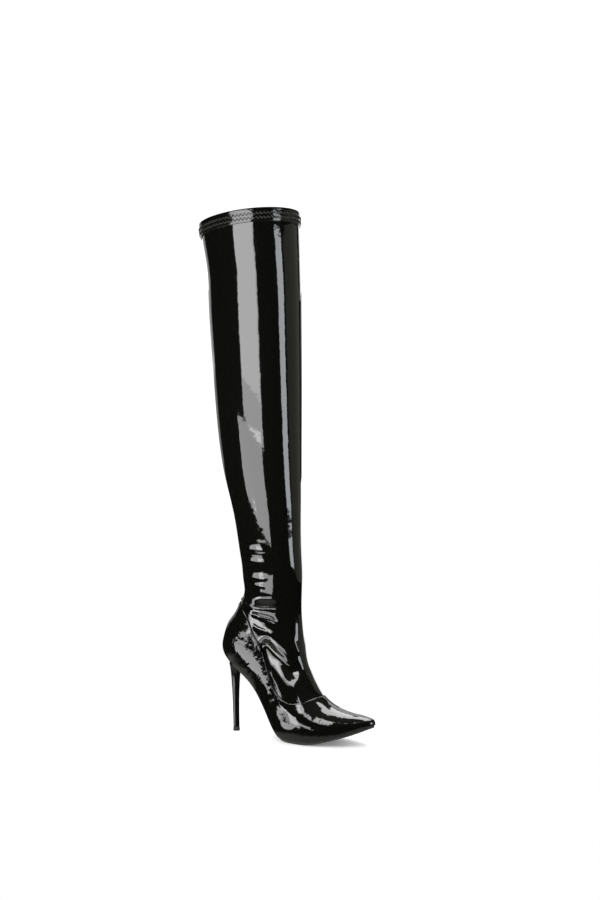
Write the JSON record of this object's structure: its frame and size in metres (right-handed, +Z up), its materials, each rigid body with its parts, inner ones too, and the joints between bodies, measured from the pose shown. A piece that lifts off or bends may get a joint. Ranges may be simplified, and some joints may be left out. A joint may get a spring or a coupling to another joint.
{
  "type": "thigh high boot",
  "caption": "Thigh high stretch boot with a pointed toe, a slim high heel, a pump-shaped foot part and a tall open leg with a stitched collar hem.",
  "frame": {"origin": "on the floor, under the middle of the heel tip", "axes": "+X towards the toe, +Y towards the inner side of the foot, +Z up the leg"},
  "size_m": [0.2594, 0.1298, 0.7],
  "materials": {
    "patent_foot": "patent gloss",
    "patent_leg": "stretch patent gloss",
    "patent_trim": "patent gloss",
    "sole": "semi-matte",
    "insole": "matte",
    "heel": "gloss",
    "heel_tip": "matte"
  },
  "bodies": {
    "root": {"outsole": "sole", "insole": "insole", "upper": "patent_foot", "shaft": "patent_leg", "collar_hem": "patent_trim", "heel": "heel", "heel_tip": "heel_tip", "back_tab": "patent_trim"}
  },
  "joints": []
}
